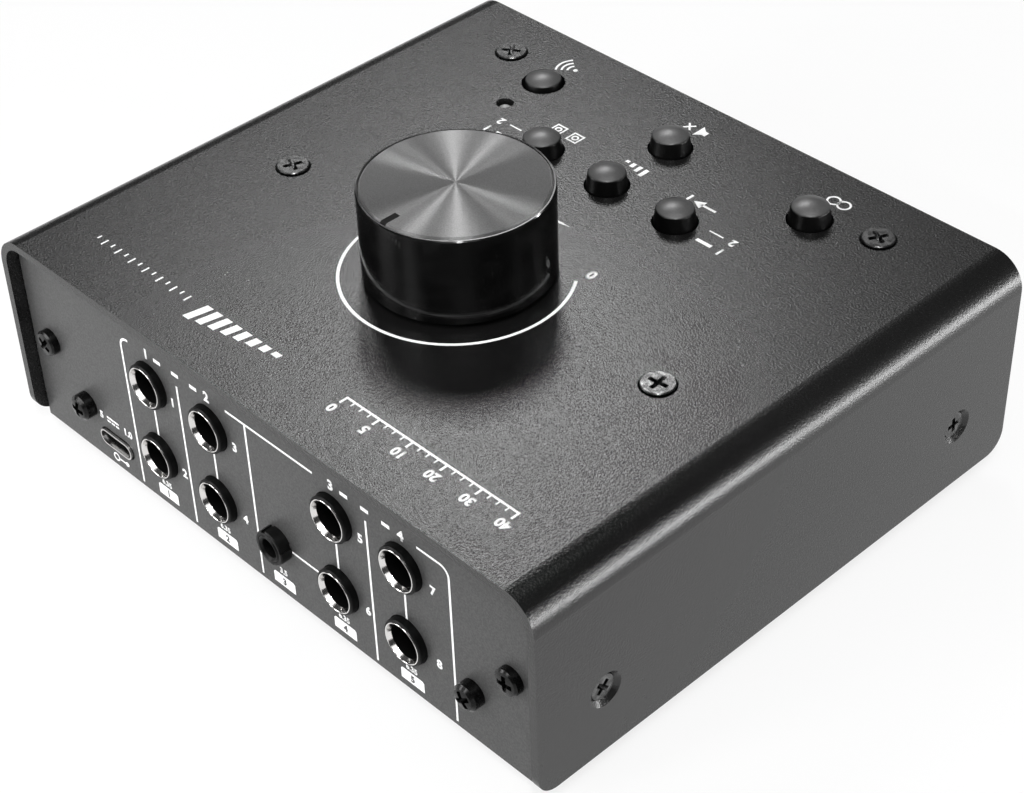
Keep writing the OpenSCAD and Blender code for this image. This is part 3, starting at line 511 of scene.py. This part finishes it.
def panel_lines():
    """Frame, dividers and links round the groups of sockets."""
    art = bmesh.new()
    line, high, low, bend = 0.42, 35.5, 3.4, 1.9
    left, right = -35.2, 45.1
    bar(art, (left, low), (left, high - bend), line)
    arc(art, (left + bend, high - bend), bend, line, 90, 90)
    bar(art, (left + bend, high), (-33.0, high), line)
    bar(art, (-7.1, high), (14.3, high), line)
    bar(art, (38.2, high), (right - bend, high), line)
    arc(art, (right - bend, high - bend), bend, line, 0, 90)
    bar(art, (right, low), (right, high - bend), line)
    bar(art, (-20.2, low), (-20.2, 33.1), line)
    bar(art, (-2.3, low), (-2.3, high - line / 2), line)
    bar(art, (26.5, low), (26.5, 33.3), line)
    for column in (-28.0, -12.0, 18.6, 34.6):
        bar(art, (column, 18.2), (column, 24.8), line)
    bar(art, (6.6, 13.8), (14.2, 13.8), line)
    printed("panel_lines_print", art, on_panel, white_ink)


def panel_numbers():
    """Numbers of the pairs and channels, the sizes of the sockets, and the supply's sign."""
    art = bmesh.new()
    for figures, u in (("1", -28.0), ("2", -12.0), ("3", 18.6), ("4", 34.6)):
        number(art, figures, (u, 35.6), 2.1)
    for u in (-25.0, -20.2, -15.4, 21.7, 26.5, 31.3):
        bar(art, (u - 0.9, 35.5), (u + 0.9, 35.5), 0.7)
    for pair, u in enumerate((-22.1, -5.8, 24.8, 41.3)):
        number(art, str(2 * pair + 1), (u, 28.6), 1.9)
        number(art, str(2 * pair + 2), (u + 0.4, 13.4), 1.9)
    for column in (-27.9, -11.8, 18.7, 34.8):
        number(art, "6.35", (column, 7.35), 1.25)
    number(art, "3.5", (3.5, 7.4), 1.25)
    number(art, "5", (-45.6, 12.6), 1.6)
    bar(art, (-44.0, 13.0), (-40.6, 13.0), 0.36)
    for part in range(3):
        bar(art, (-44.0 + part * 1.25, 12.2), (-43.1 + part * 1.25, 12.2), 0.36)
    number(art, "1.0", (-37.8, 12.6), 1.6)
    arc(art, (-43.0, 4.4), 0.75, 0.32, 0, 360)
    bar(art, (-42.2, 4.4), (-40.4, 4.4), 0.32)
    dot(art, (-39.9, 4.4), 0.5)
    printed("panel_numbers_print", art, on_panel, white_ink)


def panel_plates():
    """White blocks under the socket groups, each with a dark number."""
    plates, figures = bmesh.new(), bmesh.new()
    half, low, high, cut = 2.7, 3.95, 6.3, 0.35
    for count, u in enumerate((-27.8, -11.5, 3.5, 18.8, 34.9)):
        patch(plates, (u - half, low), (u + half, low), (u + half, high - cut),
              (u + half - cut, high), (u - half + cut, high), (u - half, high - cut))
        number(figures, str(count + 1), (u, 5.1), 1.45)
    printed("panel_plates_print", plates, on_panel, white_ink)
    printed("plate_numbers_print", figures, on_panel, dark_ink, INK - INK_SUNK / 2)


knob_scale()
button_marks()
level_marks()
panel_lines()
panel_numbers()
panel_plates()


# Studio

def white_for_camera(finish, lit, level):
    """Adds white for what the camera sees straight, mirrored or through clear parts, and keeps the shadow."""
    straight, mirrored, through = [finish.add("ShaderNodeLightPath", output=f"Is {kind} Ray")
                                   for kind in ("Camera", "Glossy", "Transmission")]
    seen = straight + mirrored + through
    return finish.add("ShaderNodeMixShader", None, {
        0: seen.math("MINIMUM", seen, 1.0) * level, 1: lit,
        2: finish.add("ShaderNodeEmission", None, {"Color": (1, 1, 1, 1), "Strength": 1.0})})


def studio_floor():
    """A wide pale floor that the camera sees as white."""
    bm = bmesh.new()
    bmesh.ops.create_grid(bm, x_segments=2, y_segments=2, size=3.0)
    mesh = bpy.data.meshes.new("studio_floor")
    bm.to_mesh(mesh)
    bm.free()
    f = Finish("floor_pale")
    lit = f.add("ShaderNodeBsdfDiffuse", None, {"Color": (0.86, 0.86, 0.86, 1)})
    f.add("ShaderNodeOutputMaterial", None, {"Surface": white_for_camera(f, lit, 0.80)})
    mesh.materials.append(f.material)
    floor = bpy.data.objects.new("studio_floor", mesh)
    bpy.context.scene.collection.objects.link(floor)


def studio_world(level):
    """An even, faint white all round."""
    world = bpy.data.worlds.new("studio")
    bpy.context.scene.world = world
    world.use_nodes = True
    sky = world.node_tree.nodes["Background"]
    sky.inputs["Color"].default_value = (1, 1, 1, 1)
    sky.inputs["Strength"].default_value = level


def hang(light, bearing, height, distance, aim):
    """Hangs a light so that it shines at a point, seen from there under a bearing and a height in degrees."""
    a, e = radians(bearing), radians(height)
    towards = Vector((cos(a) * cos(e), sin(a) * cos(e), sin(e)))
    turn = towards.to_track_quat("Z", "Y").to_matrix().to_4x4()
    held = bpy.data.objects.new(light.name, light)
    held.matrix_world = Matrix.Translation(Vector(aim) + towards * distance) @ turn
    bpy.context.scene.collection.objects.link(held)


def lamp(name, bearing, height, distance, size, level, aim=(0, 0, 0)):
    """A soft box. Level is what it adds to a white sheet that faces it at the point it shines at."""
    light = bpy.data.lights.new(name, "AREA")
    light.shape, light.size, light.size_y = "RECTANGLE", *size
    light.energy = level * pi * pi * distance ** 2
    hang(light, bearing, height, distance, aim)


def spot(name, bearing, height, level, aim, reach):
    """A small lamp with a narrow cone, for one piece. Reach is the radius it lights.
    Level is as for a soft box."""
    distance = 1.0
    light = bpy.data.lights.new(name, "SPOT")
    light.energy, light.shadow_soft_size = level * 4 * pi * pi * distance ** 2, 0.02
    light.spot_size, light.spot_blend = 2 * atan2(reach, distance), 0.15
    hang(light, bearing, height, distance, aim)


def studio_camera():
    """Placed as the photograph was taken: behind the object's left corner, looking down on it."""
    a, e, roll = radians(227.361), radians(39.235), radians(-2.129)
    back = Vector((sin(a) * cos(e), -cos(a) * cos(e), sin(e)))
    side = (-back).cross(Vector((0, 0, 1))).normalized()
    up = side.cross(-back)
    right = side * cos(roll) + up * sin(roll)
    up = up * cos(roll) - side * sin(roll)
    sensor, focal_pixels, picture_pixels = 36.0, 2281.665, 1024
    data = bpy.data.cameras.new("camera")
    data.sensor_width, data.lens = sensor, sensor * focal_pixels / picture_pixels
    data.clip_start, data.clip_end = 0.01, 20.0
    camera = bpy.data.objects.new("camera", data)
    turn = Matrix((right, up, back)).transposed().to_4x4()
    camera.matrix_world = Matrix.Translation((-0.229690, 0.210170, 0.264848)) @ turn
    bpy.context.scene.collection.objects.link(camera)
    bpy.context.scene.camera = camera


studio_floor()
studio_world(0.05)
back_boxes = ((-30, 0.058), (-37, 0.010), (-43.5, 0.128), (-50, 0.006), (-58, 0.016))
for count, (bearing, level) in enumerate(back_boxes, 1):
    lamp(f"back_box_{count}", bearing, 43.5, 1.1, (0.13, 0.25), level)
lamp("overhead_box", 137, 84, 1.2, (0.9, 0.9), 0.32)
lamp("camera_side_box", 137, 48, 1.2, (0.7, 0.7), 0.15)
lamp("camera_side_strip", 139, 60, 1.0, (0.05, 0.4), 0.42)
lamp("low_right_strip", -147, 4, 0.33, (0.34, 0.05), 0.80)
lamp("right_strip", -156, 14, 1.0, (0.05, 0.25), 0.14)
lamp("left_box", 80, 26, 0.6, (0.12, 0.3), 0.30)
lamp("low_left_box", 45, 10, 0.8, (0.15, 0.2), 0.24)
lamp("panel_box", 60, 35, 0.16, (0.08, 0.08), 0.55, (0.055, 0.054, 0.02))
knob_spots = (("right", -120, 30, 0.60), ("far_right", -150, 34, 0.20), ("left", 82, 34, 0.52))
for side, bearing, height, level in knob_spots:
    spot(f"knob_spot_{side}", bearing, height, level, KNOB_CAP, 0.018)
studio_camera()
bpy.context.scene.view_settings.view_transform = "Standard"
